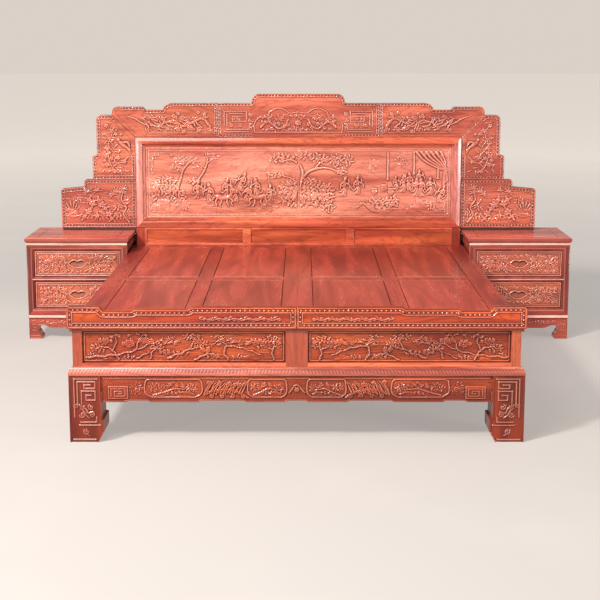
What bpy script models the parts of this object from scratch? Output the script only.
"""A carved rosewood platform bed with a stepped headboard and two bedside cabinets, in metres, +Z up.

The foot of the bed faces -Y, the headboard stands at +Y, and the floor is z = 0.
"""

import math

import bmesh
import bpy

for old in list(bpy.data.objects):
    bpy.data.objects.remove(old)

# Gap left between two faces that meet
FIT = 0.0003

# Bed, overall
BED_WIDTH = 2.000
BED_LENGTH = 2.320

# Stand: front legs and aprons
STAND_HEIGHT = 0.302
LEG_SIZE = 0.140
LEG_SETBACK = 0.0005
LEG_SOLE = 0.125
HOOF_REACH = 0.011
HOOF_BOTTOM = 0.045
HOOF_TOP = 0.100
APRON_DEPTH = 0.122
APRON_LIFT = 0.007
APRON_SETBACK = 0.008
APRON_THICKNESS = 0.028
APRON_TONGUE = 0.018
APRON_BLOCK = 0.114
APRON_LINK = 0.098
APRON_MEDALLION = 0.226
APRON_SPACER = 0.195
APRON_INNER_MEDALLION = 0.181
APRON_SLOPE = 0.014

# Moulding between the stand and the box
MOULDING_HEIGHT = 0.035
MOULDING_WIDTH = 0.060
MOULDING_SLOPE = 0.017

# Box: foot frame, side boards, centre beam
BOX_SETBACK = 0.020
FOOT_FRAME_HEIGHT = 0.173
FOOT_FRAME_THICKNESS = 0.040
FOOT_OUTER_STILE = 0.042
FOOT_CENTRE_STILE = 0.048
FOOT_BOTTOM_RAIL = 0.016
FOOT_TOP_RAIL = 0.012
FOOT_LIP = 0.012
FOOT_PANEL_THICKNESS = 0.018
FOOT_REBATE = 0.006
SIDE_BOARD_THICKNESS = 0.030
BEAM_WIDTH = 0.060
BEAM_DEPTH = 0.120

# Deck: two framed halves with four loose panels each
DECK_RISE = 0.004
DECK_THICKNESS = 0.030
DECK_OUTER_STILE = 0.105
DECK_MUNTIN = 0.075
DECK_INNER_STILE = 0.073
DECK_END_RAIL = 0.100
DECK_MID_RAIL = 0.075
DECK_LEDGE = 0.012
DECK_PANEL_THICKNESS = 0.015
DECK_PANEL_GAP = 0.002

# Foot crest, heights above the foot frame and lengths from its outer end inwards
FOOT_CREST_THICKNESS = 0.032
FOOT_CREST_END = 0.099
FOOT_CREST_DIP = 0.077
FOOT_CREST_STEP = 0.086
FOOT_CREST_CENTRE = 0.096
FOOT_CREST_ROUND = 0.018
FOOT_CREST_END_FLAT = 0.120
FOOT_CREST_END_RUN = 0.027
FOOT_CREST_DIP_FLAT = 0.116
FOOT_CREST_DIP_RUN = 0.018
FOOT_CREST_STEP_FLAT = 0.225
FOOT_CREST_STEP_RUN = 0.022

# Headboard frame
HEADBOARD_DEPTH = 0.140
HEAD_FRAME_INSET = 0.015
HEAD_FRAME_HEIGHT = 0.551
HEAD_FRAME_THICKNESS = 0.050
HEAD_MEMBER = 0.058
HEAD_LIP = 0.010
HEAD_LIP_BACK = 0.022
HEAD_PANEL_THICKNESS = 0.020
POST_WIDTH = 0.050
POST_SETBACK = 0.012
POST_DROP = 0.020

# Plain panels between the deck and the headboard frame
LOWER_BACK_HEIGHT = 0.106
LOWER_BACK_THICKNESS = 0.035
LOWER_BACK_TOP_RAIL = 0.011
LOWER_BACK_SILL = 0.011
LOWER_BACK_MUNTIN = 0.049
LOWER_BACK_CENTRE = 0.580
LOWER_BACK_RAIL_DROP = 0.100
LOWER_BACK_TONGUE = 0.030
LOWER_BACK_LIP = 0.008
LOWER_BACK_REBATE = 0.005
LOWER_BACK_PANEL = 0.012

# Crest, heights above the headboard frame; the top is measured from the middle, the rest from the ends
CREST_SETBACK = 0.018
CREST_THICKNESS = 0.036
CREST_OVERHANG = 0.136
CREST_CENTRE_BOARD = 0.974
CREST_TOP = 0.257
CREST_SHOULDER = 0.203
CREST_DIP = 0.162
CREST_EAR = 0.181
CREST_TOP_FLAT = 0.237
CREST_TOP_RUN = 0.045
CREST_SHOULDER_RUN = 0.054
CREST_DIP_FLAT = 0.102
CREST_DIP_RUN = 0.024
CREST_EAR_FLAT = 0.153
CREST_EAR_RUN = 0.030
CREST_EAR_DROP = 0.040

# Wings at the sides of the headboard
UPPER_WING_DROP = 0.009
UPPER_WING_FLAT = 0.067
UPPER_WING_RUN = 0.028
UPPER_WING_ROUND = 0.036
UPPER_WING_STEP = 0.028
UPPER_WING_STEP_HEIGHT = 0.150
LOWER_WING_CLEARANCE = 0.016
LOWER_WING_HEIGHT = 0.295
LOWER_WING_LEDGE = 0.054
LOWER_WING_LEDGE_DROP = 0.044
LOWER_WING_REACH = 0.142
LOWER_WING_FALL = 0.012
LOWER_WING_ROUND = 0.016

# Bedside cabinets
CABINET_CLEARANCE = 0.004
CABINET_WIDTH = 0.590
CABINET_DEPTH = 0.421
CABINET_BACK_GAP = 0.002
CASE_HEIGHT = 0.422
CASE_WAIST = 0.012
CASE_WAIST_INSET = 0.010
CASE_SIDE_RECESS = 0.010
CASE_TOP_RAIL = 0.038
CASE_DIVIDER = 0.032
CASE_BOTTOM_RAIL = 0.045
CASE_STILE = 0.042
CASE_CHAMFER = 0.012
CASE_CHAMFER_DEPTH = 0.007
CASE_BACK = 0.018
TOP_HEIGHT = 0.027
TOP_OVERHANG = 0.010
TOP_MEMBER = 0.070
TOP_LEDGE = 0.012
TOP_PANEL_THICKNESS = 0.013
FOOT_HEIGHT = 0.128
FOOT_MOULDING = 0.014
FOOT_MOULDING_OVERHANG = 0.004
FOOT_WIDTH = 0.057
FOOT_HOOF = 0.019
FOOT_ARCH = 0.082
FOOT_LOBE = 0.016

# Drawers
DRAWER_REVEAL = 0.002
DRAWER_SINK = 0.008
DRAWER_FRONT_THICKNESS = 0.028
DRAWER_BORDER = 0.012
DRAWER_FIELD_SINK = 0.004
TRAY_SIDE_CLEARANCE = 0.006
TRAY_BACK_CLEARANCE = 0.012
TRAY_HEIGHT = 0.115
TRAY_WALL = 0.010
TRAY_FLOOR = 0.008
PULL_WIDTH = 0.094
PULL_HEIGHT = 0.045
PULL_CUSP = 0.30
PULL_DEPTH = 0.020
PULL_RISE = 0.010

# Levels
moulding_bottom = STAND_HEIGHT + FIT
moulding_top = moulding_bottom + MOULDING_HEIGHT
foot_frame_bottom = moulding_top + FIT
foot_frame_top = foot_frame_bottom + FOOT_FRAME_HEIGHT
foot_crest_bottom = foot_frame_top + FIT
deck_top = foot_frame_top + DECK_RISE
deck_bottom = deck_top - DECK_THICKNESS
box_top = deck_bottom - FIT
head_bottom = deck_top + LOWER_BACK_HEIGHT
head_top = head_bottom + HEAD_FRAME_HEIGHT
crest_bottom = head_top + FIT
stand_top = FOOT_HEIGHT + FOOT_MOULDING
case_bottom = stand_top + FIT
case_top = case_bottom + CASE_HEIGHT
waist_top = case_top + CASE_WAIST
top_bottom = waist_top + FIT
top_level = top_bottom + TOP_HEIGHT

# Planes from the foot to the head
foot_y = -BED_LENGTH / 2
head_y = BED_LENGTH / 2
half_width = BED_WIDTH / 2
box_half = half_width - BOX_SETBACK
leg_outer = half_width - LEG_SETBACK
leg_inner = leg_outer - LEG_SIZE
leg_front = foot_y + LEG_SETBACK
leg_back = leg_front + LEG_SIZE
foot_frame_front = foot_y + BOX_SETBACK
foot_frame_back = foot_frame_front + FOOT_FRAME_THICKNESS
head_face = head_y - HEADBOARD_DEPTH
head_half = half_width - HEAD_FRAME_INSET
head_frame_back = head_face + HEAD_FRAME_THICKNESS
post_front = head_face + POST_SETBACK
post_inner = head_half - POST_WIDTH
crest_front = head_face + CREST_SETBACK
crest_back = crest_front + CREST_THICKNESS


def look(name, colour, roughness):
    """A principled wood finish."""
    made = bpy.data.materials.new(name)
    made.use_nodes = True
    shader = made.node_tree.nodes["Principled BSDF"]
    shader.inputs["Base Color"].default_value = (*colour, 1.0)
    shader.inputs["Roughness"].default_value = roughness
    shader.inputs["Metallic"].default_value = 0.0
    return made


looks = {
    "rosewood_carved": look("rosewood_carved", (0.62, 0.19, 0.11), 0.42),
    "rosewood_frame": look("rosewood_frame", (0.66, 0.17, 0.09), 0.34),
    "rosewood_deck": look("rosewood_deck", (0.52, 0.11, 0.07), 0.36),
    "rosewood_inner": look("rosewood_inner", (0.48, 0.17, 0.09), 0.55),
}


def solid(name, bm, finish, at=(0.0, 0.0, 0.0)):
    """One named object from a closed mesh, its origin moved to the given point."""
    bmesh.ops.recalc_face_normals(bm, faces=bm.faces)
    bmesh.ops.translate(bm, verts=bm.verts, vec=[-value for value in at])
    mesh = bpy.data.meshes.new(name)
    bm.to_mesh(mesh)
    bm.free()
    mesh.materials.append(looks[finish])
    made = bpy.data.objects.new(name, mesh)
    made.location = at
    bpy.context.scene.collection.objects.link(made)
    return made


def helper(name, bm):
    """An object that only shapes another one."""
    made = solid(name, bm, "rosewood_inner")
    made.hide_render = True
    made.display_type = "WIRE"
    return made


def combine(target, other, operation):
    change = target.modifiers.new(operation.lower() + "_" + other.name, "BOOLEAN")
    change.operation = operation
    change.solver = "EXACT"
    change.object = other


def ease(target, width, segments=1):
    """Breaks the sharp edges."""
    change = target.modifiers.new("eased_edges", "BEVEL")
    change.width = width
    change.segments = segments
    change.limit_method = "ANGLE"
    change.angle_limit = math.radians(40)
    return target


def prism(outline, axis, low, high):
    """A closed outline drawn out along one axis; the outline holds the other two axes in order."""
    order = {"x": (2, 0, 1), "y": (0, 2, 1), "z": (0, 1, 2)}[axis]
    bm = bmesh.new()
    ends = []
    for level in (low, high):
        points = [(first, second, level) for first, second in outline]
        ends.append([bm.verts.new([point[i] for i in order]) for point in points])
    near, far = ends
    bm.faces.new(near)
    bm.faces.new(reversed(far))
    for i in range(len(outline)):
        j = (i + 1) % len(outline)
        bm.faces.new((near[i], near[j], far[j], far[i]))
    return bm


def loft(rings, loop=False):
    """Rings of points joined one to the next, closed by end faces or back onto the first ring."""
    bm = bmesh.new()
    made = [[bm.verts.new(point) for point in ring] for ring in rings]
    pairs = list(zip(made, made[1:]))
    if loop:
        pairs.append((made[-1], made[0]))
    else:
        bm.faces.new(made[0])
        bm.faces.new(reversed(made[-1]))
    count = len(made[0])
    for one, two in pairs:
        for i in range(count):
            j = (i + 1) % count
            bm.faces.new((one[i], one[j], two[j], two[i]))
    return bm


def rectangle(x_low, x_high, y_low, y_high):
    return [(x_low, y_low), (x_high, y_low), (x_high, y_high), (x_low, y_high)]


def block(x_range, y_range, z_range):
    return prism(rectangle(*sorted(x_range), *y_range), "z", *z_range)


def blocks(boxes):
    """Several separate boxes in one mesh, for a row of equal cuts."""
    bm = bmesh.new()
    for x_range, y_range, z_range in boxes:
        part = block(x_range, y_range, z_range)
        bmesh.ops.recalc_face_normals(part, faces=part.faces)
        mesh = bpy.data.meshes.new("cut")
        part.to_mesh(mesh)
        part.free()
        bm.from_mesh(mesh)
        bpy.data.meshes.remove(mesh)
    return bm


def arc(centre, radii, start, end, steps=5):
    """Points of an elliptical arc between two angles in degrees."""
    angles = [math.radians(start + (end - start) * i / steps) for i in range(steps + 1)]
    return [(centre[0] + radii[0] * math.cos(a), centre[1] + radii[1] * math.sin(a)) for a in angles]


def ogee(start, end, steps=6):
    """Points of an S-curve that leaves and arrives level."""
    points = []
    for i in range(steps + 1):
        t = i / steps
        rise = (1 - math.cos(math.pi * t)) / 2
        points.append((start[0] + (end[0] - start[0]) * t, start[1] + (end[1] - start[1]) * rise))
    return points


def mirrored(outline, side):
    return [(side * first, second) for first, second in outline]


sides = (("left", -1), ("right", 1))


# Stand
def leg_outline(outer, inward):
    """Straight outside, square hoof turned inwards near the floor."""
    inner = outer + inward * LEG_SIZE
    toe = inner + inward * HOOF_REACH
    return [
        (outer, 0.0),
        (outer + inward * LEG_SOLE, 0.0),
        (toe, HOOF_BOTTOM),
        (toe, HOOF_TOP),
        (inner, HOOF_TOP + HOOF_REACH / 2),
        (inner, STAND_HEIGHT),
        (outer, STAND_HEIGHT),
    ]


apron_bottom = STAND_HEIGHT - APRON_DEPTH
tongue_low = apron_bottom + APRON_DEPTH * 0.35
tongue_high = STAND_HEIGHT - APRON_DEPTH * 0.2
apron_front = leg_front + APRON_SETBACK
apron_back = apron_front + APRON_THICKNESS
side_apron_outer = leg_outer - APRON_SETBACK
side_apron_inner = side_apron_outer - APRON_THICKNESS

for label, side in sides:
    leg = solid(
        "front_leg_" + label,
        prism(mirrored(leg_outline(leg_outer, -1), side), "y", leg_front, leg_back + HOOF_REACH),
        "rosewood_carved",
    )
    depth = prism(leg_outline(leg_front, 1), "x", *sorted((side * half_width, side * (leg_inner - LEG_SIZE))))
    combine(leg, helper("leg_depth_" + label, depth), "INTERSECT")
    mortises = blocks(
        [
            (
                (side * (leg_inner - LEG_SIZE), side * (leg_inner + APRON_TONGUE + FIT)),
                (apron_front - FIT, apron_back + FIT),
                (tongue_low - FIT, tongue_high + FIT),
            ),
            (
                (side * (side_apron_inner - FIT), side * (side_apron_outer + FIT)),
                (leg_back - APRON_TONGUE - FIT, leg_back + LEG_SIZE),
                (tongue_low - FIT, tongue_high + FIT),
            ),
        ]
    )
    combine(leg, helper("leg_mortises_" + label, mortises), "DIFFERENCE")


def apron_half():
    """Lower edge from the leg to the middle: low blocks and medallions, raised links between them."""
    low = apron_bottom
    high = apron_bottom + APRON_LIFT
    reach = leg_inner - FIT
    edge = [(reach, low)]
    level = low
    for length in (APRON_BLOCK, APRON_LINK, APRON_MEDALLION, APRON_SPACER, APRON_INNER_MEDALLION):
        reach -= length
        other = high if level == low else low
        edge.append((reach + APRON_SLOPE / 2, level))
        edge.append((reach - APRON_SLOPE / 2, other))
        level = other
    return edge


half_edge = apron_half()
apron_end = leg_inner - FIT
apron_side = [
    (apron_end, STAND_HEIGHT),
    (apron_end, tongue_high),
    (apron_end + APRON_TONGUE, tongue_high),
    (apron_end + APRON_TONGUE, tongue_low),
    (apron_end, tongue_low),
]
right_half = apron_side + half_edge
solid(
    "front_apron",
    prism(right_half + mirrored(reversed(right_half), -1), "y", apron_front, apron_back),
    "rosewood_carved",
)

side_start = leg_back + FIT
side_end = post_front - FIT
side_apron_outline = [
    (side_start, STAND_HEIGHT),
    (side_start, tongue_high),
    (side_start - APRON_TONGUE, tongue_high),
    (side_start - APRON_TONGUE, tongue_low),
    (side_start, tongue_low),
    (side_start, apron_bottom),
    (side_start + APRON_BLOCK, apron_bottom),
    (side_start + APRON_BLOCK + APRON_SLOPE, apron_bottom + APRON_LIFT),
    (side_end - APRON_BLOCK - APRON_SLOPE, apron_bottom + APRON_LIFT),
    (side_end - APRON_BLOCK, apron_bottom),
    (side_end, apron_bottom),
    (side_end, STAND_HEIGHT),
]
for label, side in sides:
    reach = sorted((side * side_apron_inner, side * side_apron_outer))
    solid("side_apron_" + label, prism(side_apron_outline, "x", *reach), "rosewood_frame")

# Moulding: a sloping quarter round over a low fillet, carried round the front corner
moulding_profile = [(0.0, moulding_bottom), (0.0, moulding_bottom + MOULDING_HEIGHT * 0.2)]
moulding_profile += arc(
    (MOULDING_SLOPE, moulding_bottom + MOULDING_HEIGHT * 0.2),
    (MOULDING_SLOPE * 0.9, MOULDING_HEIGHT * 0.8),
    180,
    90,
)
moulding_profile += [(MOULDING_WIDTH, moulding_top), (MOULDING_WIDTH, moulding_bottom)]
for label, side in sides:
    seam = [(side * FIT / 2, foot_y + p, z) for p, z in moulding_profile]
    corner = [(side * (half_width - p), foot_y + p, z) for p, z in moulding_profile]
    end = [(side * (half_width - p), side_end, z) for p, z in moulding_profile]
    solid("base_moulding_" + label, loft([seam, corner, end]), "rosewood_frame")

# Foot frame and its panels
field_inner = FIT / 2 + FOOT_CENTRE_STILE
field_outer = box_half - FOOT_OUTER_STILE
field_bottom = foot_frame_bottom + FOOT_BOTTOM_RAIL
field_top = foot_frame_top - FOOT_TOP_RAIL
for label, side in sides:
    frame = solid(
        "foot_frame_" + label,
        block(
            (side * FIT / 2, side * box_half),
            (foot_frame_front, foot_frame_back),
            (foot_frame_bottom, foot_frame_top),
        ),
        "rosewood_frame",
    )
    opening = block(
        (side * field_inner, side * field_outer),
        (foot_frame_front - FOOT_LIP, foot_frame_back),
        (field_bottom, field_top),
    )
    combine(frame, helper("foot_opening_" + label, opening), "DIFFERENCE")
    rebate = block(
        (side * (field_inner - FOOT_REBATE), side * (field_outer + FOOT_REBATE)),
        (foot_frame_front + FOOT_LIP, foot_frame_back + FOOT_LIP),
        (field_bottom - FOOT_REBATE, field_top + FOOT_REBATE),
    )
    combine(frame, helper("foot_rebate_" + label, rebate), "DIFFERENCE")
    seat = FOOT_REBATE - FIT
    panel_front = foot_frame_front + FOOT_LIP + FIT
    solid(
        "foot_panel_" + label,
        block(
            (side * (field_inner - seat), side * (field_outer + seat)),
            (panel_front, panel_front + FOOT_PANEL_THICKNESS),
            (field_bottom - seat, field_top + seat),
        ),
        "rosewood_carved",
    )

# Side boards with a sunk field on the outside
for label, side in sides:
    board = block(
        (side * (box_half - SIDE_BOARD_THICKNESS), side * box_half),
        (foot_frame_back + FIT, side_end),
        (foot_frame_bottom, box_top),
    )
    bmesh.ops.recalc_face_normals(board, faces=board.faces)
    outside = [face for face in board.faces if face.normal.x * side > 0.9]
    bmesh.ops.inset_region(board, faces=outside, thickness=0.022)
    bmesh.ops.inset_region(board, faces=outside, thickness=0.006, depth=-0.006)
    solid("side_board_" + label, board, "rosewood_frame")

solid(
    "centre_beam",
    block(
        (-BEAM_WIDTH / 2, BEAM_WIDTH / 2),
        (foot_frame_back + FIT, post_front - FIT),
        (box_top - BEAM_DEPTH, box_top),
    ),
    "rosewood_inner",
)


# Foot crest
def foot_crest_outline():
    """Half crest from its outer end to the seam: ear, dip, step and level centre."""
    ear = foot_crest_bottom + FOOT_CREST_END
    dip = foot_crest_bottom + FOOT_CREST_DIP
    step = foot_crest_bottom + FOOT_CREST_STEP
    centre = foot_crest_bottom + FOOT_CREST_CENTRE
    points = [(FIT / 2, foot_crest_bottom), (half_width, foot_crest_bottom)]
    reach = half_width - FOOT_CREST_ROUND
    points += arc((reach, ear - FOOT_CREST_ROUND), (FOOT_CREST_ROUND, FOOT_CREST_ROUND), 0, 90, 4)
    for flat, run, before, after in (
        (FOOT_CREST_END_FLAT, FOOT_CREST_END_RUN, ear, dip),
        (FOOT_CREST_DIP_FLAT, FOOT_CREST_DIP_RUN, dip, step),
        (FOOT_CREST_STEP_FLAT, FOOT_CREST_STEP_RUN, step, centre),
    ):
        reach -= flat
        points += ogee((reach, before), (reach - run, after))
        reach -= run
    points.append((FIT / 2, centre))
    return points


for label, side in sides:
    crest = solid(
        "foot_crest_" + label,
        prism(mirrored(foot_crest_outline(), side), "y", foot_y, foot_y + FOOT_CREST_THICKNESS),
        "rosewood_carved",
    )
    ease(crest, 0.003)

# Deck
deck_start = foot_frame_back + FIT
deck_end = post_front - FIT
panel_width = (half_width - FIT / 2 - DECK_OUTER_STILE - DECK_MUNTIN - DECK_INNER_STILE) / 2
panel_length = (deck_end - deck_start - 2 * DECK_END_RAIL - DECK_MID_RAIL) / 2
inner_start = FIT / 2 + DECK_INNER_STILE
outer_start = inner_start + panel_width + DECK_MUNTIN
foot_start = deck_start + DECK_END_RAIL
head_start = foot_start + panel_length + DECK_MID_RAIL
panel_top = deck_top
panel_bottom = panel_top - DECK_PANEL_THICKNESS
ledge_top = panel_bottom - FIT
deck_cells = [
    (across + "_" + along, x, y)
    for across, x in (("inner", inner_start), ("outer", outer_start))
    for along, y in (("foot", foot_start), ("head", head_start))
]


def deck_cuts(side, margin, low, high):
    return blocks(
        [
            (
                (side * (x + margin), side * (x + panel_width - margin)),
                (y + margin, y + panel_length - margin),
                (low, high),
            )
            for _, x, y in deck_cells
        ]
    )


for label, side in sides:
    frame = solid(
        "deck_frame_" + label,
        block((side * FIT / 2, side * half_width), (deck_start, deck_end), (deck_bottom, deck_top)),
        "rosewood_deck",
    )
    combine(
        frame,
        helper("deck_rebates_" + label, deck_cuts(side, 0.0, ledge_top, deck_top + DECK_THICKNESS)),
        "DIFFERENCE",
    )
    combine(
        frame,
        helper(
            "deck_openings_" + label,
            deck_cuts(side, DECK_LEDGE, deck_bottom - DECK_THICKNESS, deck_top + DECK_THICKNESS),
        ),
        "DIFFERENCE",
    )
    for cell, x, y in deck_cells:
        panel = solid(
            "deck_panel_" + label + "_" + cell,
            block(
                (side * (x + DECK_PANEL_GAP), side * (x + panel_width - DECK_PANEL_GAP)),
                (y + DECK_PANEL_GAP, y + panel_length - DECK_PANEL_GAP),
                (panel_bottom, panel_top),
            ),
            "rosewood_deck",
        )
        ease(panel, 0.001)

# Headboard posts, which are also the rear legs
tongue_bottom = deck_bottom - LOWER_BACK_RAIL_DROP * 0.8
tongue_top = deck_bottom - LOWER_BACK_RAIL_DROP * 0.2
lower_back = post_front + LOWER_BACK_THICKNESS
post_outline = [
    (post_front, 0.0),
    (head_y, 0.0),
    (head_y, head_top - POST_DROP),
    (head_frame_back + FIT, head_top - POST_DROP),
    (head_frame_back + FIT, head_bottom - FIT),
    (post_front, head_bottom - FIT),
]
for label, side in sides:
    post = solid(
        "headboard_post_" + label,
        prism(post_outline, "x", *sorted((side * post_inner, side * head_half))),
        "rosewood_frame",
    )
    mortise = block(
        (side * (post_inner - LOWER_BACK_TONGUE), side * (post_inner + LOWER_BACK_TONGUE + FIT)),
        (post_front - LOWER_BACK_THICKNESS, lower_back + FIT),
        (tongue_bottom - FIT, tongue_top + FIT),
    )
    combine(post, helper("post_mortise_" + label, mortise), "DIFFERENCE")

# Lower back: one frame with three openings, each closed by a plain panel
rail_bottom = deck_bottom - LOWER_BACK_RAIL_DROP
lower_end = post_inner - FIT
lower_top = head_bottom - FIT
right_edge = [
    (lower_end, rail_bottom),
    (lower_end, tongue_bottom),
    (lower_end + LOWER_BACK_TONGUE, tongue_bottom),
    (lower_end + LOWER_BACK_TONGUE, tongue_top),
    (lower_end, tongue_top),
    (lower_end, lower_top),
]
lower_frame = solid(
    "back_frame",
    prism(right_edge + mirrored(reversed(right_edge), -1), "y", post_front, lower_back),
    "rosewood_frame",
)
light_bottom = deck_top + LOWER_BACK_SILL
light_top = lower_top - LOWER_BACK_TOP_RAIL
light_side = LOWER_BACK_CENTRE / 2 + LOWER_BACK_MUNTIN
light_end = lower_end - LOWER_BACK_SILL
lights = {
    "left": (-light_end, -light_side),
    "center": (-LOWER_BACK_CENTRE / 2, LOWER_BACK_CENTRE / 2),
    "right": (light_side, light_end),
}


def light_cuts(margin, y_range):
    return blocks(
        [
            ((low - margin, high + margin), y_range, (light_bottom - margin, light_top + margin))
            for low, high in lights.values()
        ]
    )


combine(
    lower_frame,
    helper("back_openings", light_cuts(0.0, (post_front - LOWER_BACK_LIP, lower_back))),
    "DIFFERENCE",
)
combine(
    lower_frame,
    helper(
        "back_rebates",
        light_cuts(LOWER_BACK_REBATE, (post_front + LOWER_BACK_LIP, lower_back + LOWER_BACK_LIP)),
    ),
    "DIFFERENCE",
)
back_seat = LOWER_BACK_REBATE - FIT
back_panel_front = post_front + LOWER_BACK_LIP + FIT
for label, (low, high) in lights.items():
    solid(
        "back_panel_" + label,
        block(
            (low - back_seat, high + back_seat),
            (back_panel_front, back_panel_front + LOWER_BACK_PANEL),
            (light_bottom - back_seat, light_top + back_seat),
        ),
        "rosewood_frame",
    )

# Headboard frame: one moulding profile, mitred at the four corners.
# Each profile point is a distance in from the outer edge and a height from the back.
lip_at = HEAD_MEMBER - HEAD_LIP
crown = HEAD_FRAME_THICKNESS
frame_profile = [(0.0, 0.0), (0.0, crown * 0.80)]
frame_profile += arc((HEAD_MEMBER * 0.16, crown * 0.80), (HEAD_MEMBER * 0.16, crown * 0.20), 180, 90, 3)
frame_profile += ogee((HEAD_MEMBER * 0.45, crown), (HEAD_MEMBER * 0.84, crown * 0.66), 5)
frame_profile += [
    (HEAD_MEMBER * 0.84, crown * 0.58),
    (HEAD_MEMBER, crown * 0.58),
    (HEAD_MEMBER, HEAD_LIP_BACK + FIT),
    (lip_at, HEAD_LIP_BACK + FIT),
    (lip_at, 0.0),
]


def head_rail(name, level, inward):
    rings = []
    for end in (-1, 1):
        ring = []
        for d, h in frame_profile:
            ring.append((end * (head_half - d - FIT), head_frame_back - h, level + inward * d))
        rings.append(ring)
    solid(name, loft(rings), "rosewood_frame")


def head_stile(name, side):
    rings = []
    for level, inward in ((head_bottom, 1), (head_top, -1)):
        ring = []
        for d, h in frame_profile:
            ring.append((side * (head_half - d), head_frame_back - h, level + inward * (d + FIT)))
        rings.append(ring)
    solid(name, loft(rings), "rosewood_frame")


head_rail("headboard_top_rail", head_top, -1)
head_rail("headboard_bottom_rail", head_bottom, 1)
for label, side in sides:
    head_stile("headboard_stile_" + label, side)
panel_half = head_half - lip_at - FIT
panel_face = head_frame_back - HEAD_LIP_BACK
solid(
    "headboard_panel",
    block(
        (-panel_half, panel_half),
        (panel_face, panel_face + HEAD_PANEL_THICKNESS),
        (head_bottom + lip_at + FIT, head_top - lip_at - FIT),
    ),
    "rosewood_carved",
)

# Crest boards and wings share these levels and reaches
crest_seam = CREST_CENTRE_BOARD / 2
crest_level = {
    "top": head_top + CREST_TOP,
    "shoulder": head_top + CREST_SHOULDER,
    "dip": head_top + CREST_DIP,
    "ear": head_top + CREST_EAR,
}
crest_end = head_half + CREST_OVERHANG
ear_end = crest_end - CREST_EAR_RUN
ear_start = ear_end - CREST_EAR_FLAT
dip_end = ear_start - CREST_DIP_RUN
dip_start = dip_end - CREST_DIP_FLAT
shoulder_end = dip_start - CREST_SHOULDER_RUN
mitre_z = crest_level["ear"] - CREST_EAR_DROP - UPPER_WING_DROP

centre_half = [(crest_seam, crest_bottom), (crest_seam, crest_level["shoulder"])]
centre_half += arc(
    (CREST_TOP_FLAT, crest_level["shoulder"]),
    (CREST_TOP_RUN, CREST_TOP - CREST_SHOULDER),
    0,
    90,
)
centre = solid(
    "crest_center",
    prism(centre_half + mirrored(reversed(centre_half), -1), "y", crest_front, crest_back),
    "rosewood_carved",
)
ease(centre, 0.004)

crest_side = [(crest_seam + FIT, crest_bottom), (head_half, crest_bottom)]
crest_side += [(crest_end, mitre_z)]
crest_side += arc(
    (ear_end, crest_level["ear"] - CREST_EAR_DROP),
    (CREST_EAR_RUN, CREST_EAR_DROP),
    0,
    90,
)
crest_side += ogee((ear_start, crest_level["ear"]), (dip_end, crest_level["dip"]), 4)
crest_side += arc(
    (shoulder_end, crest_level["dip"]),
    (CREST_SHOULDER_RUN, CREST_SHOULDER - CREST_DIP),
    0,
    90,
)
crest_side += [(crest_seam + FIT, crest_level["shoulder"])]

wing_inner = head_half + FIT
lower_bottom = top_level + LOWER_WING_CLEARANCE
lower_wing_top = lower_bottom + LOWER_WING_HEIGHT
wing_side = crest_end + UPPER_WING_FLAT + UPPER_WING_RUN
wing_wide = wing_side + UPPER_WING_STEP
upper_bottom = lower_wing_top + FIT
step_z = upper_bottom + UPPER_WING_STEP_HEIGHT
upper_wing = [(wing_inner, upper_bottom), (wing_wide, upper_bottom)]
upper_wing += arc((wing_side, step_z - UPPER_WING_STEP / 2), (UPPER_WING_STEP, UPPER_WING_STEP / 2), 0, 90, 4)
upper_wing += arc(
    (wing_side - UPPER_WING_RUN, mitre_z - UPPER_WING_ROUND),
    (UPPER_WING_RUN, UPPER_WING_ROUND),
    0,
    90,
)
upper_wing += [(crest_end + FIT * 2, mitre_z), (wing_inner, crest_bottom - FIT)]

ledge_x = wing_wide + LOWER_WING_LEDGE
lower_x = ledge_x + LOWER_WING_REACH
ledge_z = lower_wing_top - LOWER_WING_LEDGE_DROP
end_z = ledge_z - LOWER_WING_FALL
lower_wing = [(wing_inner, lower_bottom), (lower_x, lower_bottom)]
lower_wing += arc(
    (lower_x - LOWER_WING_ROUND, end_z - LOWER_WING_ROUND),
    (LOWER_WING_ROUND, LOWER_WING_ROUND),
    0,
    90,
    4,
)
lower_wing += [(ledge_x, ledge_z)]
lower_wing += arc(
    (ledge_x - LOWER_WING_ROUND, lower_wing_top - LOWER_WING_ROUND),
    (LOWER_WING_ROUND, LOWER_WING_ROUND),
    0,
    90,
    4,
)
lower_wing += [(wing_inner, lower_wing_top)]

for label, side in sides:
    for name, outline in (
        ("crest_", crest_side),
        ("upper_wing_", upper_wing),
        ("lower_wing_", lower_wing),
    ):
        board = solid(
            name + label,
            prism(mirrored(outline, side), "y", crest_front, crest_back),
            "rosewood_carved",
        )
        ease(board, 0.004)

# Bedside cabinets
cabinet_x = half_width + CABINET_CLEARANCE + CABINET_WIDTH / 2
cabinet_half = CABINET_WIDTH / 2
cabinet_back = head_y - CABINET_BACK_GAP
cabinet_front = cabinet_back - CABINET_DEPTH
waist_half = cabinet_half - CASE_WAIST_INSET
waist_front = cabinet_front + CASE_WAIST_INSET
waist_back = cabinet_back - CASE_WAIST_INSET
bay_half = cabinet_half - CASE_STILE
bay_height = (CASE_HEIGHT - CASE_TOP_RAIL - CASE_DIVIDER - CASE_BOTTOM_RAIL) / 2
lower_bay = case_bottom + CASE_BOTTOM_RAIL
upper_bay = lower_bay + bay_height + CASE_DIVIDER
bay_back = cabinet_back - CASE_BACK


def ring(x, half, front, back, level):
    return [(px, py, level) for px, py in rectangle(x - half, x + half, front, back)]


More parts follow.
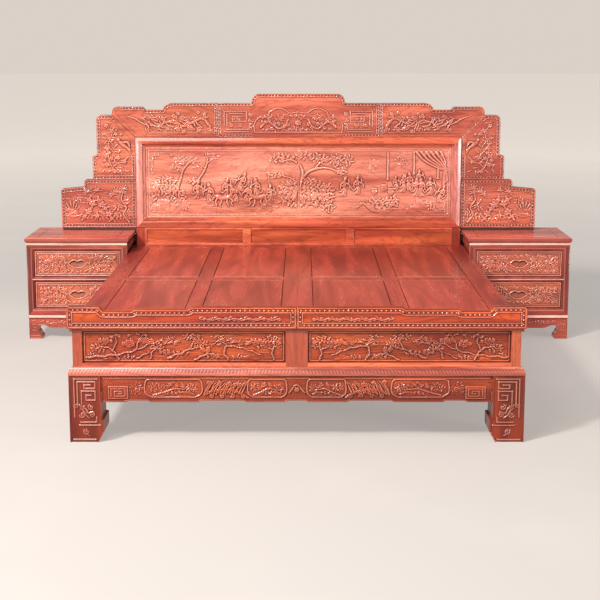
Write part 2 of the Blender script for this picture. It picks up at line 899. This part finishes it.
def foot_outline(low, high):
    """Apron and hoof feet seen square on, between two outer edges."""
    arch = FOOT_ARCH
    inner = low + FOOT_WIDTH
    half = [(low, FOOT_HEIGHT), (low, 0.0), (inner + FOOT_HOOF, 0.0), (inner + FOOT_HOOF, arch * 0.2)]
    half += ogee((inner + FOOT_HOOF, arch * 0.2), (inner, arch * 0.62), 4)[1:]
    half += [(inner, arch)]
    half += ogee((inner + FOOT_WIDTH * 0.5, arch), (inner + FOOT_WIDTH * 1.5, arch - FOOT_LOBE), 5)
    return half + [(low + high - first, second) for first, second in reversed(half)]


def pull_outline(x, z):
    """A lip with pointed ends: a plain curve below, two lobes above that meet in a cusp."""
    steps = 12
    upper = []
    lower = []
    for i in range(steps + 1):
        t = 1 - 2 * i / steps
        body = PULL_HEIGHT / 2 * (1 - t * t)
        lobe = PULL_HEIGHT / 2 * (1 - PULL_CUSP) * math.sin(math.pi * abs(t))
        upper.append((x + PULL_WIDTH / 2 * t, z + lobe + PULL_CUSP * body))
        lower.append((x - PULL_WIDTH / 2 * t, z - body))
    return upper[:-1] + lower[:-1]


top_profile = [(TOP_OVERHANG * 0.9, top_bottom)]
top_profile += arc(
    (TOP_OVERHANG * 0.9, top_bottom + TOP_HEIGHT * 0.5),
    (TOP_OVERHANG * 0.9, TOP_HEIGHT * 0.4),
    225,
    180,
    3,
)
top_profile += arc(
    (TOP_OVERHANG * 0.6, top_level - TOP_HEIGHT * 0.3),
    (TOP_OVERHANG * 0.6, TOP_HEIGHT * 0.3),
    180,
    90,
    3,
)
top_seat = top_level - TOP_PANEL_THICKNESS
top_profile += [
    (TOP_MEMBER, top_level),
    (TOP_MEMBER, top_seat - FIT),
    (TOP_MEMBER + TOP_LEDGE, top_seat - FIT),
    (TOP_MEMBER + TOP_LEDGE, top_bottom),
]

for label, side in sides:
    x = side * cabinet_x
    name = "nightstand_" + label + "_"
    top_half = cabinet_half + TOP_OVERHANG
    top_front = cabinet_front - TOP_OVERHANG
    corners = ((-1, 1), (1, 1), (1, -1), (-1, -1))
    rings = []
    for across, along in corners:
        edge_y = top_front if along > 0 else cabinet_back
        rings.append([(x + across * (top_half - p), edge_y + along * p, z) for p, z in top_profile])
    solid(name + "top_frame", loft(rings, loop=True), "rosewood_deck")
    inset = TOP_MEMBER + FIT * 2
    solid(
        name + "top_panel",
        block(
            (x - top_half + inset, x + top_half - inset),
            (top_front + inset, cabinet_back - inset),
            (top_seat, top_level),
        ),
        "rosewood_deck",
    )

    body = loft(
        [
            ring(x, cabinet_half, cabinet_front, cabinet_back, case_bottom),
            ring(x, cabinet_half, cabinet_front, cabinet_back, case_top),
            ring(x, waist_half, waist_front, waist_back, case_top),
            ring(x, waist_half, waist_front, waist_back, waist_top),
        ]
    )
    bmesh.ops.recalc_face_normals(body, faces=body.faces)
    flanks = [face for face in body.faces if abs(face.normal.x) > 0.9 and face.calc_area() > CASE_HEIGHT * 0.1]
    bmesh.ops.inset_individual(body, faces=flanks, thickness=CASE_STILE)
    bmesh.ops.inset_individual(
        body, faces=flanks, thickness=CASE_SIDE_RECESS, depth=-CASE_SIDE_RECESS
    )
    case = solid(name + "case", body, "rosewood_frame")
    bays = blocks(
        [
            ((x - bay_half, x + bay_half), (cabinet_front - CASE_BACK, bay_back), (low, low + bay_height))
            for low in (lower_bay, upper_bay)
        ]
    )
    combine(case, helper(name + "bays", bays), "DIFFERENCE")
    for level, low in (("upper", upper_bay), ("lower", lower_bay)):
        mouth = []
        for reach, y in (
            (CASE_CHAMFER * 2, cabinet_front - CASE_CHAMFER_DEPTH),
            (0.0, cabinet_front + CASE_CHAMFER_DEPTH),
        ):
            sill = rectangle(x - bay_half - reach, x + bay_half + reach, low - reach, low + bay_height + reach)
            mouth.append([(px, y, pz) for px, pz in sill])
        combine(case, helper(name + level + "_mouth", loft(mouth)), "DIFFERENCE")

    stand = solid(
        name + "stand",
        prism(foot_outline(x - cabinet_half, x + cabinet_half), "y", cabinet_front, cabinet_back),
        "rosewood_frame",
    )
    across = prism(foot_outline(cabinet_front, cabinet_back), "x", x - cabinet_half - FIT, x + cabinet_half + FIT)
    combine(stand, helper(name + "stand_depth", across), "INTERSECT")
    hollow_inset = FOOT_WIDTH + FOOT_HOOF * 2
    hollow = block(
        (x - cabinet_half + hollow_inset, x + cabinet_half - hollow_inset),
        (cabinet_front + hollow_inset, cabinet_back - hollow_inset),
        (-FOOT_HEIGHT, FOOT_HEIGHT - FOOT_MOULDING),
    )
    combine(stand, helper(name + "stand_hollow", hollow), "DIFFERENCE")
    lip = cabinet_half + FOOT_MOULDING_OVERHANG
    lip_front = cabinet_front - FOOT_MOULDING_OVERHANG
    moulding = loft(
        [
            ring(x, cabinet_half - FIT, cabinet_front + FIT, cabinet_back - FIT, FOOT_HEIGHT - FOOT_MOULDING / 2),
            ring(x, lip, lip_front, cabinet_back, FOOT_HEIGHT + FOOT_MOULDING * 0.25),
            ring(x, lip, lip_front, cabinet_back, FOOT_HEIGHT + FOOT_MOULDING * 0.6),
            ring(x, cabinet_half, cabinet_front, cabinet_back, stand_top),
        ]
    )
    combine(stand, helper(name + "stand_moulding", moulding), "UNION")

    for level, low in (("upper", upper_bay), ("lower", lower_bay)):
        face_y = cabinet_front + DRAWER_SINK
        front_back = face_y + DRAWER_FRONT_THICKNESS
        half = bay_half - DRAWER_REVEAL
        bottom = low + DRAWER_REVEAL
        top = low + bay_height - DRAWER_REVEAL
        middle = (bottom + top) / 2
        centre = (x, face_y, middle)
        front = block((x - half, x + half), (face_y, front_back), (bottom, top))
        bmesh.ops.recalc_face_normals(front, faces=front.faces)
        shown = [face for face in front.faces if face.normal.y < -0.9]
        bmesh.ops.inset_region(front, faces=shown, thickness=DRAWER_BORDER)
        bmesh.ops.inset_region(
            front, faces=shown, thickness=DRAWER_FIELD_SINK, depth=-DRAWER_FIELD_SINK
        )
        drawer = solid(name + level + "_drawer_front", front, "rosewood_carved", centre)
        outline = pull_outline(x, middle)
        start = [(px, face_y - FIT, pz - PULL_RISE * FIT / PULL_DEPTH) for px, pz in outline]
        deep = [(px, face_y + PULL_DEPTH, pz + PULL_RISE) for px, pz in outline]
        combine(drawer, helper(name + level + "_pull", loft([start, deep])), "DIFFERENCE")

        tray_half = bay_half - TRAY_SIDE_CLEARANCE
        tray = block(
            (x - tray_half, x + tray_half),
            (front_back + FIT, bay_back - TRAY_BACK_CLEARANCE),
            (low + FIT, low + FIT + TRAY_HEIGHT),
        )
        bmesh.ops.recalc_face_normals(tray, faces=tray.faces)
        mouth = [face for face in tray.faces if face.normal.z > 0.9]
        bmesh.ops.inset_region(tray, faces=mouth, thickness=TRAY_WALL)
        moved = bmesh.ops.extrude_discrete_faces(tray, faces=mouth)["faces"]
        bmesh.ops.translate(
            tray,
            verts=list({vertex for face in moved for vertex in face.verts}),
            vec=(0.0, 0.0, TRAY_FLOOR - TRAY_HEIGHT),
        )
        solid(name + level + "_drawer_tray", tray, "rosewood_inner", centre)
